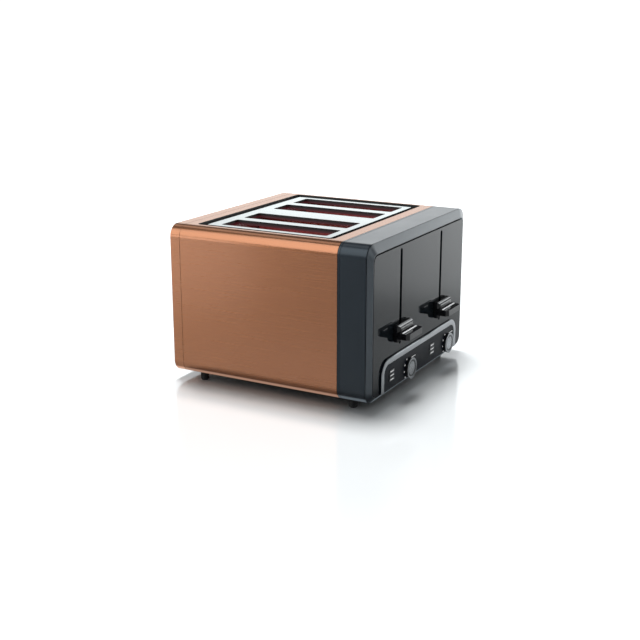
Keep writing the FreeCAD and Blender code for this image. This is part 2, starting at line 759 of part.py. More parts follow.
def stripe_block(side, slack):
    """Bar let into the top of the paddle beside the hub."""
    x = side * LEVER_X
    half = STRIPE_WIDTH / 2 - slack
    y0 = HUB_FRONT - STRIPE_SET
    return box(x - half, x + half, y0 + slack, y0 + STRIPE_DEPTH - slack,
               PADDLE_HIGH - STRIPE_HEIGHT, PADDLE_HIGH + STRIPE_PROUD)


def lift_spring(side):
    """Outer shape of the extension spring between the bracket and the shelf."""
    x = side * SPRING_X
    outer = rod_z(x, SPRING_Y, SPRING_RADIUS, SPRING_LOW, SHELF_LOW)
    return outer.cut(rod_z(x, SPRING_Y, SPRING_RADIUS - SPRING_WIRE, SPRING_LOW - OVERCUT,
                           SHELF_LOW + OVERCUT))


def bread_guide(x, face):
    """Wire cage beside a slot, leaning in from its hinge; face is the slot's side it is on."""
    base_x = x + face * GUIDE_X
    hinge = Vector(base_x, 0, GUIDE_LOW)
    rails = []
    for z in (GUIDE_LOW, GUIDE_HIGH):
        rails.append(rod_y(base_x, z, GUIDE_WIRE, GUIDE_FRONT, GUIDE_REAR))
    span = GUIDE_REAR - GUIDE_FRONT - 2 * GUIDE_END
    uprights = []
    for index in range(GUIDE_WIRES):
        y = GUIDE_FRONT + GUIDE_END + span * index / (GUIDE_WIRES - 1)
        uprights.append(rod_z(base_x, y, GUIDE_UPRIGHT, GUIDE_LOW, GUIDE_HIGH))
    cage = rails[0].fuse([rails[1]] + uprights)
    cage.rotate(hinge, Vector(0, 1, 0), -face * GUIDE_LEAN)
    return cage


# ---- controls

def dial_centre(side):
    """X of a dial's axis."""
    return side * LEVER_X + DIAL_SHIFT


def button_place(side, row):
    """X and Z of the middle of a key."""
    return side * LEVER_X + BUTTON_SHIFT, BUTTON_TOP - row * BUTTON_PITCH


def dial_knob(side):
    """Grip and shaft of a browning dial."""
    x = dial_centre(side)
    grip = rod_y(x, DIAL_Z, DIAL_RADIUS, DIAL_FRONT, DIAL_BACK)
    flutes = []
    for index in range(FLUTES):
        angle = 2 * math.pi * index / FLUTES
        flute_x = x + DIAL_RADIUS * math.cos(angle)
        flute_z = DIAL_Z + DIAL_RADIUS * math.sin(angle)
        flutes.append(rod_y(flute_x, flute_z, FLUTE_RADIUS, DIAL_FRONT - OVERCUT,
                            DIAL_BACK + OVERCUT))
    shaft = rod_y(x, DIAL_Z, SHAFT_RADIUS, DIAL_BACK, SHAFT_BACK)
    return grip.cut(flutes).fuse(shaft).removeSplitter()


def dial_cap(side):
    """Bright cap on the front of a dial, dished in the middle."""
    x = dial_centre(side)
    cap = rod_y(x, DIAL_Z, RING_RADIUS, RING_FRONT, DIAL_FRONT)
    dish = rod_y(x, DIAL_Z, RING_RADIUS - RIM_WIDTH, RING_FRONT - OVERCUT,
                 RING_FRONT + DISH_DEPTH)
    mark = box(x - MARK_HALF, x + MARK_HALF, RING_FRONT - OVERCUT, RING_FRONT + MARK_DEPTH,
               DIAL_Z + MARK_LOW, DIAL_Z + MARK_HIGH)
    return cap.cut([dish, mark])


def button(side, row):
    """Small bar-shaped key with ears that hold it behind the control panel."""
    x, z = button_place(side, row)
    half = BUTTON_WIDTH / 2
    tall = BUTTON_TALL / 2
    cap = prism_y(x - half, x + half, z - tall, z + tall, BUTTON_ROUND, BUTTON_FRONT,
                  BUTTON_BACK)
    ears = box(x - half - BUTTON_EAR, x + half + BUTTON_EAR, CONTROL_BACK + EAR_PLAY,
               BUTTON_BACK, z - tall + EAR_THIN, z + tall - EAR_THIN)
    return cap.fuse(ears).removeSplitter()


# ---- crumb tray

def crumb_tray():
    """Shallow sheet tray that slides out at the rear, with a bar to pull it by."""
    outer = box(-TRAY_HALF, TRAY_HALF, TRAY_FRONT, REAR_FACE, TRAY_LOW, TRAY_HIGH)
    inner = box(-TRAY_HALF + TRAY_SHEET, TRAY_HALF - TRAY_SHEET, TRAY_FRONT + TRAY_SHEET,
                REAR_FACE - TRAY_SHEET, TRAY_LOW + TRAY_SHEET, TRAY_HIGH + OVERCUT)
    return outer.cut(inner)


def tray_handle():
    """Moulded bar on the rear edge of the crumb tray."""
    half = TRAY_HALF + HANDLE_LAP
    bar = prism_y(-half, half, HANDLE_LOW, HANDLE_HIGH, HANDLE_RADIUS, REAR_FACE, REAR)
    grip = prism_y(-GRIP_HALF, GRIP_HALF, GRIP_LOW, GRIP_HIGH, GRIP_RADIUS,
                   REAR_FACE + HANDLE_LAP, REAR + OVERCUT)
    return bar.cut(grip)


# ---- nodes

def nodes():
    """Every piece by name."""
    made = {
        "outer_shell": outer_shell(),
        "rear_band": rear_band(),
        "rear_panel": rear_panel(),
        "cord_gland": cord_gland(),
        "front_frame": front_frame(),
        "front_panel": front_panel(),
        "control_trim": control_trim(),
        "control_panel": control_panel(),
        "top_surround": top_surround(),
        "top_plate": top_plate(),
        "base_plate": base_plate(),
        "feet": feet(),
        "front_bulkhead": front_bulkhead(),
        "rear_bulkhead": rear_bulkhead(),
        "reflectors": reflectors(),
        "heater_ribbons": heater_ribbons(),
        "guide_rods": guide_rods(),
        "control_board": control_board(),
        "base_screws": screws(),
        "crumb_tray": crumb_tray(),
        "tray_handle": tray_handle(),
    }
    for name, x, _ in board_places():
        made[f"heater_board_{name}"] = heater_board(x)
    for name, side in SIDES:
        made[f"electromagnet_{name}"] = electromagnet(side)
        made[f"carriage_bracket_{name}"] = carriage_bracket(side)
        made[f"armature_{name}"] = armature(side)
        made[f"bread_racks_{name}"] = bread_racks(side)
        made[f"lever_{name}"] = lever(side)
        made[f"lever_stripe_{name}"] = stripe_block(side, STRIPE_FIT)
        made[f"lift_spring_{name}"] = lift_spring(side)
        made[f"dial_knob_{name}"] = dial_knob(side)
        made[f"dial_cap_{name}"] = dial_cap(side)
        for row, use in enumerate(("defrost", "reheat", "cancel")):
            made[f"button_{use}_{name}"] = button(side, row)
        for slot, x in zip(("inner", "outer"), slot_centres(side)[::side]):
            for face in GUIDE_SIDES:
                where = "a" if face < 0 else "b"
                made[f"bread_guide_{name}_{slot}_{where}"] = bread_guide(x, face)
    return made


os.makedirs("parts", exist_ok=True)
for node, shape in nodes().items():
    if not shape.isValid():
        print("not valid:", node)
    shape.exportStep(f"parts/{node}.step")
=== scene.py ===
"""Looks of a wide four-slot pop up toaster: materials, small parts, studio and camera."""
import json
import math

import bmesh
import bpy
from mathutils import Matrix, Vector


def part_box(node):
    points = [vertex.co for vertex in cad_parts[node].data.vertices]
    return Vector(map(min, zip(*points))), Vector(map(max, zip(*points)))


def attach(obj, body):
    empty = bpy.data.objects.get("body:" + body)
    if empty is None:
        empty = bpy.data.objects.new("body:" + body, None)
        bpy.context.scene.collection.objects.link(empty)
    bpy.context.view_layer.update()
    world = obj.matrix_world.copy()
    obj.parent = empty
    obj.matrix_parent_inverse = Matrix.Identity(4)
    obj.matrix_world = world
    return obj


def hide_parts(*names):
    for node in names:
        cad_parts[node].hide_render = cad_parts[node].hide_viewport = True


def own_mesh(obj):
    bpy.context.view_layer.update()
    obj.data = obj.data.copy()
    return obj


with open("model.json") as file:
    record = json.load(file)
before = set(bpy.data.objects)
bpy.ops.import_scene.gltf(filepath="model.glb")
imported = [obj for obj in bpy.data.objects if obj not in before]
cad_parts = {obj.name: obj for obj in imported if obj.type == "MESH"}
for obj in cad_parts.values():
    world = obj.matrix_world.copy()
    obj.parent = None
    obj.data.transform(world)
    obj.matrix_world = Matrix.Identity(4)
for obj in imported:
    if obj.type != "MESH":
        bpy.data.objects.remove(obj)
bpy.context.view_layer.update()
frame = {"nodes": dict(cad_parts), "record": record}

SIDES = ("left", "right")
MM = 0.001


def middle(node):
    """Centre of a CAD node's box."""
    low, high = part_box(node)
    return (Vector(low) + Vector(high)) / 2


# ---- material building

class Tree:
    """A node tree built up one node at a time."""

    def __init__(self, tree):
        self.tree = tree

    def add(self, kind, inputs=None, output=0, **settings):
        """A node with its settings and inputs; an input is a value or another node's socket."""
        node = self.tree.nodes.new(kind)
        for key, value in settings.items():
            setattr(node, key, value)
        for key, value in (inputs or {}).items():
            self.feed(node.inputs[key], value)
        return node.outputs[output]

    def feed(self, socket, value):
        """Link a socket to another one, or set it to a plain value."""
        if isinstance(value, bpy.types.NodeSocket):
            self.tree.links.new(value, socket)
        else:
            socket.default_value = value

    def work_out(self, operation, *values):
        """The result of a Math node on two or three values."""
        return self.add("ShaderNodeMath", dict(enumerate(values)), operation=operation)

    def spread(self, value, low, high, start=0.3, end=0.7, **settings):
        """value, from start to end, mapped to low to high."""
        return self.add("ShaderNodeMapRange", {
            "Value": value, "From Min": start, "From Max": end, "To Min": low, "To Max": high},
            **settings)


class Graph(Tree):
    """One material's node tree, built from its Principled shader outwards."""

    def __init__(self, name, **sockets):
        self.material = bpy.data.materials.new(name)
        self.material.use_nodes = True
        super().__init__(self.material.node_tree)
        self.shader = self.tree.nodes["Principled BSDF"]
        for key, value in sockets.items():
            self.shader.inputs[key.replace("_", " ")].default_value = value

    def shade(self, key, value):
        """Feed one of the Principled shader's own sockets."""
        self.feed(self.shader.inputs[key], value)

    def place(self, scale=(1, 1, 1)):
        """Object coordinates in metres, times scale along each axis."""
        coords = self.add("ShaderNodeTexCoord", output="Object")
        return self.add("ShaderNodeMapping", {"Vector": coords, "Scale": scale})

    def noise(self, scale, detail=4.0, stretch=(1, 1, 1), roughness=0.55):
        """Noise with that many cells to the metre, stretched along the axes."""
        return self.add("ShaderNodeTexNoise", {
            "Vector": self.place(stretch), "Scale": scale, "Detail": detail,
            "Roughness": roughness})

    def blend(self, factor, first, second):
        """A colour between two colours."""
        ramp = self.tree.nodes.new("ShaderNodeValToRGB")
        ramp.color_ramp.elements[0].position = 0.3
        ramp.color_ramp.elements[0].color = (*first, 1)
        ramp.color_ramp.elements[1].position = 0.7
        ramp.color_ramp.elements[1].color = (*second, 1)
        self.feed(ramp.inputs["Fac"], factor)
        return ramp.outputs["Color"]

    def part_of(self, vector, axis):
        """One component of a vector."""
        return self.add("ShaderNodeSeparateXYZ", {"Vector": vector}, output=axis)

    def facing_up(self):
        """The upward part of the surface normal: 1 faces up, -1 faces down."""
        return self.part_of(self.add("ShaderNodeNewGeometry", output="Normal"), "Z")

    def bump(self, height, distance, strength):
        """Surface normals from a height, which is worth distance in metres."""
        return self.add("ShaderNodeBump",
                        {"Height": height, "Distance": distance, "Strength": strength})


# Upward part of the normal where a painted glow, standing in for the floor's bounced light, sets
# in and is full going under the case, and where it is gone and still full, coming out again from
# the flat bottom.
TURNING_UNDER = (-0.46, -0.60)
FACING_DOWN = (-0.93, -0.80)


def paint_bounce_glow(g, colour):
    """Painted glow on the lower rounding, where it turns well underneath, standing in for light
    thrown back up by the floor.
    """
    facing = g.facing_up()
    turned = g.spread(facing, 0.0, 1.0, *TURNING_UNDER)
    outer = g.spread(facing, 0.0, 1.0, *FACING_DOWN)
    g.shade("Emission Color", (*colour, 1))
    g.shade("Emission Strength", g.work_out("MULTIPLY", turned, outer))


def lighter(colour, factor):
    """A colour times a factor, which darkens it below 1."""
    return tuple(min(1.0, c * factor) for c in colour)


# Painted shade on a sheet: its tone rises from the first to the second value between these two X
# positions, so its colour is darker towards the left.
SHADE_TONES = (-0.22, 0.12)
SHADE_REACH = (-0.12, 0.04)


def brushed_metal(name, colour, grain=(1, 0.012, 1), rough=0.32, contrast=0.12, depth=0.02 * MM,
                  fine=2600.0, broad=420.0, lacquer=0.0, edge=(1, 1, 1), bounce_glow_colour=None,
                  painted_shade=0.0):
    """Brushed sheet: fine and broad streaks along the axis that grain makes small.

    edge tints what it mirrors at a grazing angle, the bounce glow colour is that of a painted glow
    on its lower rounding that stands in for the floor's light, and painted shade darkens its
    colour towards the left.
    """
    g = Graph(name, Metallic=1.0, Coat_Weight=lacquer, Coat_Roughness=0.12,
              Specular_Tint=(*edge, 1))
    if bounce_glow_colour:
        paint_bounce_glow(g, bounce_glow_colour)
    fine_streak = g.noise(fine, 5.0, grain, 0.6)
    broad_streak = g.noise(broad, 3.0, grain)
    streaks = g.work_out("MULTIPLY", g.work_out("ADD", fine_streak, broad_streak), 0.5)
    tone = streaks
    # Painted shade: the colour is darker towards the left.
    if painted_shade:
        across = g.part_of(g.place(), "X")
        tone = g.work_out("ADD", streaks, g.spread(across, *SHADE_TONES, *SHADE_REACH))
    g.shade("Base Color", g.blend(tone, lighter(colour, 1 - contrast - painted_shade),
                                  lighter(colour, 1 + contrast)))
    g.shade("Roughness", g.spread(streaks, rough - 0.04, rough + 0.05))
    g.shade("Normal", g.bump(fine_streak, depth, 0.6))
    return g.material


def moulded_plastic(name, colour, rough, smudge=0.05, level=0.5, tint=(1, 1, 1), bounce_glow_colour=None):
    """Moulded plastic: fine texture of the mould, and slow drift of gloss over the surface."""
    g = Graph(name, Specular_IOR_Level=level, Specular_Tint=(*tint, 1))
    # Painted glow on the lower rounding, standing in for light thrown back up by the floor.
    if bounce_glow_colour:
        paint_bounce_glow(g, bounce_glow_colour)
    slow = g.noise(28.0, 3.0)
    fine = g.noise(3500.0, 2.0)
    g.shade("Base Color", g.blend(slow, lighter(colour, 0.9), lighter(colour, 1.12)))
    g.shade("Roughness", g.spread(slow, rough - smudge, rough + smudge))
    g.shade("Normal", g.bump(fine, 0.02 * MM, 0.35))
    return g.material


def gloss_plastic(name, colour, rough=0.06, level=0.5):
    """Polished plastic, with faint waviness and a slight drift of gloss."""
    g = Graph(name, Specular_IOR_Level=level)
    slow = g.noise(16.0, 2.0)
    g.shade("Base Color", g.blend(slow, lighter(colour, 0.92), lighter(colour, 1.1)))
    g.shade("Roughness", g.spread(g.noise(90.0, 3.0), rough * 0.7, rough * 1.4))
    g.shade("Normal", g.bump(slow, 0.12 * MM, 0.12))
    return g.material


def plated_sheet(name, colour, rough=0.35):
    """Zinc-plated sheet with its faint spangle."""
    g = Graph(name, Metallic=1.0)
    cells = g.add("ShaderNodeTexVoronoi", {"Vector": g.place(), "Scale": 260.0},
                  output="Distance")
    g.shade("Base Color", g.blend(cells, lighter(colour, 0.85), lighter(colour, 1.15)))
    g.shade("Roughness", g.spread(cells, rough - 0.08, rough + 0.12, 0.1, 0.7))
    g.shade("Normal", g.bump(g.noise(900.0, 3.0), 0.02 * MM, 0.4))
    return g.material


HEAT_TINT = (1.0, 0.86, 0.72)


def polished_wire(name, colour, rough=0.18):
    """Drawn wire: streaks along it and a little heat tint."""
    g = Graph(name, Metallic=1.0)
    drawn = g.noise(1500.0, 3.0, (1, 0.03, 1))
    tint = g.noise(22.0, 2.0)
    heated = tuple(c * t for c, t in zip(colour, HEAT_TINT))
    g.shade("Base Color", g.blend(tint, colour, heated))
    g.shade("Roughness", g.spread(drawn, rough - 0.06, rough + 0.1))
    g.shade("Normal", g.bump(drawn, 0.01 * MM, 0.5))
    return g.material


def rubber(name, colour):
    """Matt rubber with a fine grain."""
    g = Graph(name, Specular_IOR_Level=0.3)
    fine = g.noise(2200.0, 4.0)
    g.shade("Base Color", g.blend(g.noise(60.0, 2.0), lighter(colour, 0.8), lighter(colour, 1.3)))
    g.shade("Roughness", g.spread(fine, 0.68, 0.86))
    g.shade("Normal", g.bump(fine, 0.04 * MM, 0.5))
    return g.material


MICA_GLOW = (0.22, 0.022, 0.030, 1)


def mica(name, colour):
    """Pressed mica board: flaky, and dull red from the heaters on its faces."""
    g = Graph(name, Specular_IOR_Level=0.4)
    flake = g.add("ShaderNodeTexVoronoi", {"Vector": g.place((1, 1, 1.4)), "Scale": 420.0},
                  output="Color")
    tone = g.add("ShaderNodeSeparateColor", {"Color": flake}, output="Red")
    g.shade("Base Color", g.blend(tone, lighter(colour, 0.75), lighter(colour, 1.2)))
    g.shade("Roughness", g.spread(tone, 0.35, 0.6, 0.0, 1.0))
    g.shade("Normal", g.bump(tone, 0.04 * MM, 0.4))
    g.shade("Emission Color", MICA_GLOW)
    g.shade("Emission Strength", g.spread(g.noise(30.0, 2.0), 0.25, 0.5))
    return g.material


SLOT_GLOW = (0.085, 0.014, 0.020, 1)
SLOT_GLOW_TOP = 192.5 * MM
SLOT_GLOW_FULL = 188 * MM
SLOT_GLOW_LIGHT = 0.9


def warm_liner(name, colour):
    """Matt black top liner, with the heaters' dull red glow on its upright walls in the slots."""
    g = Graph(name, Roughness=0.6)
    g.shade("Base Color", g.blend(g.noise(60.0, 2.0), lighter(colour, 0.8), lighter(colour, 1.2)))
    height = g.part_of(g.place(), "Z")
    glow = g.spread(height, 0.0, SLOT_GLOW_LIGHT, SLOT_GLOW_TOP, SLOT_GLOW_FULL)
    upright = g.spread(g.facing_up(), 1.0, 0.0, 0.2, 0.6)
    g.shade("Emission Color", SLOT_GLOW)
    g.shade("Emission Strength", g.work_out("MULTIPLY", glow, upright))
    return g.material


def glowing_ribbon(name):
    """Resistance ribbon at a dull red heat that wavers along its length."""
    g = Graph(name, Metallic=1.0, Roughness=0.5)
    heat = g.noise(45.0, 3.0, (1, 0.5, 1))
    g.shade("Base Color", g.blend(heat, (0.16, 0.07, 0.05), (0.30, 0.13, 0.08)))
    g.shade("Emission Color", g.blend(heat, (0.55, 0.03, 0.008), (1.0, 0.11, 0.02)))
    g.shade("Emission Strength", g.spread(heat, 0.5, 1.4))
    return g.material


# Painted glow on printed marks, so that they read on black.
INK_PAINTED_GLOW = 0.4


def printed_ink(name, colour):
    """Printed mark: slightly uneven ink, with a faint painted glow so that it reads on black."""
    g = Graph(name, Emission_Color=(*colour, 1), Emission_Strength=INK_PAINTED_GLOW)
    fleck = g.noise(4000.0, 2.0)
    g.shade("Base Color", g.blend(fleck, lighter(colour, 0.9), colour))
    g.shade("Roughness", g.spread(fleck, 0.4, 0.55))
    return g.material


DIAL_CENTRES = [middle(f"dial_cap_{side}") for side in SIDES]
# Painted shade: a dark ring on each dial's face, at the edge of its shallow dish.
PAINTED_SHADE_RING = (0.02, 0.022, 0.024, 1)
RING_RADIUS = 9.5 * MM
RING_HALF_WIDTH = 1.2 * MM


def spun_metal(name, colour):
    """Turned face: rings round the nearest dial's axis, and one ring of painted shade."""
    g = Graph(name, Metallic=1.0)
    coords = g.add("ShaderNodeTexCoord", output="Object")
    reach = None
    for centre in DIAL_CENTRES:
        offset = g.add("ShaderNodeVectorMath", {0: coords, 1: centre}, operation="SUBTRACT")
        flat = g.add("ShaderNodeVectorMath", {0: offset, 1: (1, 0, 1)}, operation="MULTIPLY")
        length = g.add("ShaderNodeVectorMath", {0: flat}, output="Value", operation="LENGTH")
        reach = length if reach is None else g.work_out("MINIMUM", reach, length)
    rings = g.add("ShaderNodeTexNoise", {"W": reach, "Scale": 6000.0, "Detail": 3.0},
                  noise_dimensions="1D")
    in_painted_shade_ring = g.work_out("COMPARE", reach, RING_RADIUS, RING_HALF_WIDTH)
    turned = g.blend(rings, lighter(colour, 0.85), lighter(colour, 1.1))
    g.shade("Base Color", g.add("ShaderNodeMix", {0: in_painted_shade_ring, 6: turned, 7: PAINTED_SHADE_RING}, 2,
                                data_type="RGBA"))
    g.shade("Roughness", g.spread(rings, 0.2, 0.36))
    g.shade("Normal", g.bump(rings, 0.02 * MM, 0.5))
    return g.material


COPPER = (0.192, 0.077, 0.0355)
ANTHRACITE = (0.0005, 0.003, 0.008)
STEEL = (0.30, 0.34, 0.335)
BRIGHT = (0.22, 0.23, 0.24)

# The copper and anthracite looks below get a painted glow on their lower roundings, standing in
# for light from the floor.
LOOKS = {
    "copper": brushed_metal("brushed_copper", COPPER, grain=(1, 0.008, 1), rough=0.25,
                            contrast=0.03, depth=0.01 * MM, fine=5200.0, broad=1100.0,
                            lacquer=0.33, edge=(0.87, 0.69, 0.59), bounce_glow_colour=(0.36, 0.21, 0.15)),
    "anthracite": moulded_plastic("satin_anthracite", ANTHRACITE, 0.29, smudge=0.015, level=0.3,
                                  tint=(0.8, 0.92, 1.0), bounce_glow_colour=(0.10, 0.12, 0.135)),
    "gloss_black": gloss_plastic("gloss_black", (0.005, 0.007, 0.009), level=0.11),
    "control_gloss": moulded_plastic("control_satin", (0.002, 0.004, 0.008), 0.4, level=0.05),
    "bright_trim": brushed_metal("bright_trim", BRIGHT, grain=(0.02, 1, 1), rough=0.3,
                                 contrast=0.06),
    "black_plastic": moulded_plastic("black_plastic", (0.014, 0.014, 0.015), 0.55),
    "button_plastic": moulded_plastic("button_plastic", (0.012, 0.013, 0.015), 0.28),
    "dial_plastic": moulded_plastic("dial_plastic", (0.014, 0.014, 0.015), 0.38),
    "dial_metal": spun_metal("spun_dial", BRIGHT),
    # Painted shade: the top steel's colour darkens towards the left.
    "top_steel": brushed_metal("top_steel", STEEL, rough=0.2, contrast=0.06, painted_shade=0.4),
    "well_black": warm_liner("well_black", (0.003, 0.003, 0.003)),
    "rubber": rubber("foot_rubber", (0.012, 0.012, 0.012)),
    "zinc_sheet": plated_sheet("zinc_sheet", (0.42, 0.43, 0.44)),
    "reflector_sheet": plated_sheet("reflector_sheet", (0.40, 0.20, 0.18), rough=0.3),
    "mica": mica("mica_board", (0.30, 0.13, 0.11)),
    "ribbon": glowing_ribbon("heater_ribbon"),
    "wire": polished_wire("chromed_wire", (0.40, 0.36, 0.34)),
    "coil": polished_wire("coil_winding", (0.45, 0.20, 0.08), rough=0.4),
    "circuit": moulded_plastic("circuit_green", (0.01, 0.07, 0.03), 0.4),
    "spring_steel": polished_wire("spring_steel", (0.45, 0.45, 0.45), rough=0.25),
}
LEVER = gloss_plastic("lever_gloss", (0.004, 0.004, 0.005), rough=0.12, level=0.25)
# Painted highlight: the levers' chrome stripes are drawn as white ink with a faint glow, standing
# in for their bright reflection.
STRIPE = printed_ink("lever_stripe_painted_highlight", (0.86, 0.87, 0.88))
WHITE_INK = printed_ink("white_print", (0.80, 0.80, 0.80))


def dress_nodes():
    """Every CAD node gets the procedural material of its slot, except the levers: gloss black,
    with white ink and a faint painted glow on their chrome stripes as a painted highlight.
    """
    slots = {s["node"]: s["material_slot"] for s in frame["record"]["subparts"]}
    for name, node in frame["nodes"].items():
        node.data.materials.clear()
        look = LOOKS[slots[name]]
        if name.startswith("lever"):
            look = STRIPE if name.startswith("lever_stripe") else LEVER
        node.data.materials.append(look)


# Widths of the small rounds on the edges that catch light.
SOFT_EDGES = {"front_panel": 0.4 * MM, "lever_left": 0.6 * MM, "lever_right": 0.6 * MM,
              "top_plate": 0.3 * MM}


def soften(node, width, segments=2, angle=35):
    """Small rounds on a CAD node's edges that are sharper than angle degrees."""
    bevel = frame["nodes"][node].modifiers.new("soft_edges", "BEVEL")
    bevel.width = width
    bevel.segments = segments
    bevel.limit_method = "ANGLE"
    bevel.angle_limit = math.radians(angle)
    bevel.harden_normals = True


# ---- mesh building

PRINT = 0.06 * MM


def piece(name, build, look, body):
    """A new mesh piece built by build(bm), finished and riding on a body."""
    mesh = bpy.data.meshes.new(name)
    bm = bmesh.new()
    build(bm)
    bmesh.ops.recalc_face_normals(bm, faces=bm.faces)
    bm.to_mesh(mesh)
    bm.free()
    thing = bpy.data.objects.new(name, mesh)
    bpy.context.scene.collection.objects.link(thing)
    thing.data.materials.append(look)
    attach(thing, body)
    return thing


def add_pill(bm, start, end, radius, thickness=PRINT, steps=10):
    """A flat mark with round ends lying in the XZ plane, standing thickness proud of start's Y."""
    heading = math.atan2(end.z - start.z, end.x - start.x)
    ring = []
    for centre, first in ((end, -0.5), (start, 0.5)):
        for step in range(steps + 1):
            angle = heading + math.pi * (first + step / steps)
            ring.append(centre + Vector((math.cos(angle), 0, math.sin(angle))) * radius)
    front = [bm.verts.new(p + Vector((0, -thickness, 0))) for p in ring]
    back = [bm.verts.new(p) for p in ring]
    bm.faces.new(front)
    bm.faces.new(list(reversed(back)))
    for index in range(len(ring)):
        other = (index + 1) % len(ring)
        bm.faces.new((front[index], back[index], back[other], front[other]))


def add_tube(bm, path, radius, sides=10):
    """A round tube along a list of points."""
    rings = []
    up = Vector((0, 0, 1))
    for index, point in enumerate(path):
        ahead = path[min(index + 1, len(path) - 1)] - path[max(index - 1, 0)]
        across = ahead.cross(up).normalized()
        over = across.cross(ahead).normalized()
        rings.append([bm.verts.new(point + (across * math.cos(t) + over * math.sin(t)) * radius)
                      for t in (2 * math.pi * k / sides for k in range(sides))])
    for near, far in zip(rings, rings[1:]):
        for k in range(sides):
            bm.faces.new((near[k], near[(k + 1) % sides], far[(k + 1) % sides], far[k]))
    bm.faces.new(list(reversed(rings[0])))
    bm.faces.new(rings[-1])


def smooth(thing):
    """Smooth shading over the whole piece."""
    for polygon in thing.data.polygons:
        polygon.use_smooth = True


# ---- small parts

DOT_COUNT = 4
DOT_RADIUS = 1.0 * MM
DOT_CIRCLE = 15.2 * MM
FIRST_DOT_ANGLE = 216
DOT_ANGLE_STEP = -31
SCALE_LINE_OFFSET = Vector((2 * MM, 0, 11.5 * MM))
SCALE_LINE = Vector((15 * MM, 0, 0))
SCALE_LINE_RADIUS = 0.35 * MM


def dial_scale(side):
    """Dots round the left of a dial, and a line over its upper right."""
    centre = middle(f"dial_cap_{side}")
    centre.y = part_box("control_panel")[0][1]

    def build(bm):
        for index in range(DOT_COUNT):
            angle = math.radians(FIRST_DOT_ANGLE + index * DOT_ANGLE_STEP)
            spot = centre + Vector((math.cos(angle), 0, math.sin(angle))) * DOT_CIRCLE
            add_pill(bm, spot, spot, DOT_RADIUS)
        start = centre + SCALE_LINE_OFFSET
        add_pill(bm, start, start + SCALE_LINE, SCALE_LINE_RADIUS)
    return piece(f"dial_scale_{side}", build, WHITE_INK, "root")


KEY_LINE_HALF = Vector((4.2 * MM, 0, 0))
KEY_LINE_RADIUS = 0.4 * MM


def key_mark(use, side):
    """Plain line on a key."""
    key = f"button_{use}_{side}"
    centre = middle(key)
    centre.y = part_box(key)[0][1]

    def build(bm):
        add_pill(bm, centre - KEY_LINE_HALF, centre + KEY_LINE_HALF, KEY_LINE_RADIUS)
    return piece(f"mark_{use}_{side}", build, WHITE_INK, key)


SPRING_WIRE = 0.45 * MM
SPRING_TURNS = 34
STEPS_PER_TURN = 14


def coil_spring(side):
    """Extension spring in place of the plain tube."""
    node = f"lift_spring_{side}"
    low, high = (Vector(v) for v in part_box(node))
    centre = (low + high) / 2
    radius = (high.x - low.x) / 2 - SPRING_WIRE
    steps = SPRING_TURNS * STEPS_PER_TURN
    rise = (high.z - low.z - 2 * SPRING_WIRE) / steps

    def build(bm):
        path = []
        for index in range(steps + 1):
            angle = 2 * math.pi * index / STEPS_PER_TURN
            path.append(Vector((centre.x + radius * math.cos(angle),
                                centre.y + radius * math.sin(angle),
                                low.z + SPRING_WIRE + rise * index)))
        add_tube(bm, path, SPRING_WIRE, 8)
    spring = piece(f"coil_spring_{side}", build, LOOKS["spring_steel"], "root")
    smooth(spring)
    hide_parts(node)
    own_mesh(spring)


def build_small_parts():
    """Prints and springs, which the CAD part doesn't have."""
    for side in SIDES:
        dial_scale(side)
        coil_spring(side)
        for use in ("defrost", "reheat", "cancel"):
            key_mark(use, side)


# ---- studio

FLOOR_HALF = 12.0
FADE_LIGHT = 0.45
FADE_REACH = (0.4, 1.3)


def floor():
    """Pale polished floor that fades to white far out, large enough to fill the view."""
    half = FLOOR_HALF
    mesh = bpy.data.meshes.new("floor")
    corners = [(-half, -half, 0), (half, -half, 0), (half, half, 0), (-half, half, 0)]
    mesh.from_pydata(corners, [], [(0, 1, 2, 3)])
    thing = bpy.data.objects.new("floor", mesh)
    bpy.context.scene.collection.objects.link(thing)
    g = Graph("pale_floor", IOR=1.5)
    slow = g.noise(1.2, 2.0)
    g.shade("Base Color", g.blend(slow, (0.80, 0.80, 0.80), (0.82, 0.82, 0.82)))
    g.shade("Roughness", g.spread(slow, 0.10, 0.13))
    coords = g.add("ShaderNodeTexCoord", output="Object")
    reach = g.add("ShaderNodeVectorMath", {0: coords}, output="Value", operation="LENGTH")
    g.shade("Emission Color", (1, 1, 1, 1))
    g.shade("Emission Strength", g.spread(reach, 0.0, FADE_LIGHT, *FADE_REACH))
    mesh.materials.append(g.material)


LAMP_COLOUR = (0.95, 0.985, 1.0)


def hang_light(name, kind, place, target, energy, mirrored):
    """A lamp aimed at a point; it shows either in mirror-like shading or in soft shading."""
    light = bpy.data.lights.new(name, kind)
    light.energy = energy
    light.color = LAMP_COLOUR
    thing = bpy.data.objects.new(name, light)
    bpy.context.scene.collection.objects.link(thing)
    thing.location = place
    thing.rotation_mode = "QUATERNION"
    thing.rotation_quaternion = (Vector(target) - Vector(place)).to_track_quat("-Z", "Y")
    thing.visible_camera = False
    thing.visible_glossy = mirrored
    thing.visible_diffuse = not mirrored
    return light


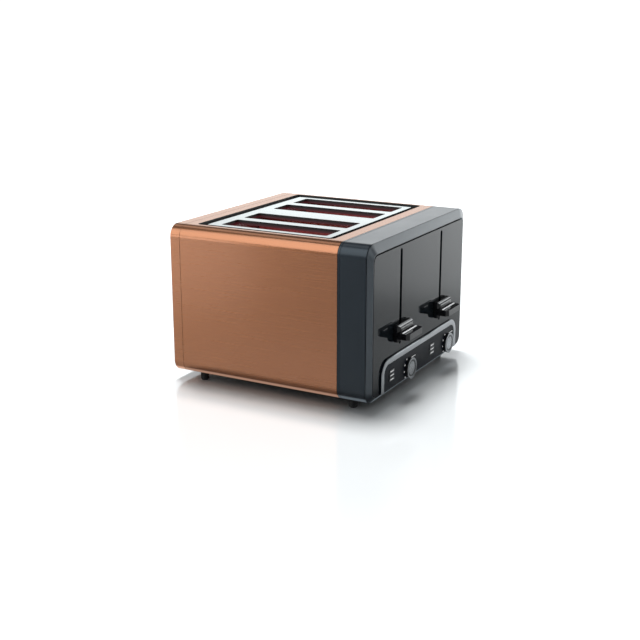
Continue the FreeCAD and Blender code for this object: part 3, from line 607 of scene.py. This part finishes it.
# Each softbox: where it hangs, what it aims at, its width and height, and its power.
SOFTBOXES = {
    "left_high": ((-1.2, 0.81, 1.26), (-0.1, 0, 0.15), (1.3, 1.9), 33.0),
    "top": ((0.28, 0.76, 1.56), (-0.1, 0, 0.15), (0.5, 1.3), 3.0),
    "overhead": ((0.1, 0.85, 1.7), (-0.05, 0, 0.15), (1.6, 1.0), 1.0),
    "rear_left": ((-1.5, 1.35, 0.25), (-0.14, 0.1, 0.1), (0.8, 0.32), 4.5),
    "right_front": ((2.0, -0.93, 0.27), (0, -0.1, 0.15), (1.2, 0.36), 6.0),
    "front": ((0.75, -2.0, 0.55), (-0.1, -0.1, 0.0), (0.9, 0.6), 14.0),
    "right_high": ((1.9, -0.62, 1.15), (0, -0.15, 0.08), (0.8, 0.5), 8.0),
}


def softbox(name, place, target, size, power):
    """Rectangular light that the glossy surfaces mirror."""
    light = hang_light(name, "AREA", place, target, power, True)
    light.shape = "RECTANGLE"
    light.size, light.size_y = size


KEY_DIRECTION = (0.17, 0.20, 1.0)
KEY_STRENGTH = 3.7
KEY_SPREAD = 22


def key_light():
    """Broad even light from above for the floor, the prints and the shadows."""
    light = hang_light("key", "SUN", KEY_DIRECTION, (0, 0, 0), KEY_STRENGTH, False)
    light.angle = math.radians(KEY_SPREAD)


CAMERA_AZIMUTH = -61.35
CAMERA_ELEVATION = 15.85
CAMERA_DISTANCE = 1.4196
CAMERA_TARGET = Vector((-0.02195, 0.0045, 0.06572))
CAMERA_LENS = 62.894
CAMERA_SENSOR = 36.0


def backwards():
    """Unit vector from the object towards the camera."""
    a, e = math.radians(CAMERA_AZIMUTH), math.radians(CAMERA_ELEVATION)
    return Vector((math.sin(a) * math.cos(e), -math.cos(a) * math.cos(e), math.sin(e)))


WALL_LIGHT = 1.75
ROOM_LIGHT = 0.25
BACKDROP_LIGHT = 1.1
# The wall sets in and is full where a direction leans this much away from the camera,
# and it is full up to the first upward lean and gone by the second.
WALL_SIDES = (0.45, 0.95)
WALL_TOP = (0.30, 0.48)


def studio_world():
    """Dim room with a bright low wall behind the object; the camera sees plain white."""
    world = bpy.data.worlds.new("studio")
    world.use_nodes = True
    sky = Tree(world.node_tree)
    sky.tree.nodes.clear()
    direction = sky.add("ShaderNodeTexCoord", output="Generated")
    away = -backwards()
    lean = sky.add("ShaderNodeVectorMath", {0: direction, 1: (away.x, away.y, 0.0)},
                   output="Value", operation="DOT_PRODUCT")
    rise = sky.add("ShaderNodeSeparateXYZ", {"Vector": direction}, output="Z")
    behind = sky.spread(lean, 0.0, 1.0, *WALL_SIDES, interpolation_type="SMOOTHSTEP")
    low = sky.spread(rise, 1.0, 0.0, *WALL_TOP, interpolation_type="SMOOTHSTEP")
    level = sky.work_out("MULTIPLY_ADD", sky.work_out("MULTIPLY", behind, low),
                         WALL_LIGHT, ROOM_LIGHT)
    room = sky.add("ShaderNodeBackground", {"Color": (*LAMP_COLOUR, 1), "Strength": level})
    backdrop = sky.add("ShaderNodeBackground",
                       {"Color": (1, 1, 1, 1), "Strength": BACKDROP_LIGHT})
    seen = sky.add("ShaderNodeLightPath", output="Is Camera Ray")
    shown = sky.add("ShaderNodeMixShader", {"Fac": seen, 1: room, 2: backdrop})
    out = sky.tree.nodes.new("ShaderNodeOutputWorld")
    sky.feed(out.inputs["Surface"], shown)
    bpy.context.scene.world = world


def camera():
    """Long lens a little above the object, to its front left."""
    data = bpy.data.cameras.new("camera")
    data.lens = CAMERA_LENS
    data.sensor_width = CAMERA_SENSOR
    thing = bpy.data.objects.new("camera", data)
    bpy.context.scene.collection.objects.link(thing)
    back = backwards()
    thing.location = CAMERA_TARGET + back * CAMERA_DISTANCE
    thing.rotation_mode = "QUATERNION"
    thing.rotation_quaternion = (-back).to_track_quat("-Z", "Y")
    bpy.context.scene.camera = thing


camera()
floor()
studio_world()
for name, setting in SOFTBOXES.items():
    softbox(name, *setting)
key_light()
dress_nodes()
build_small_parts()
for node, width in SOFT_EDGES.items():
    soften(node, width)

bpy.context.scene.view_settings.view_transform = "Standard"
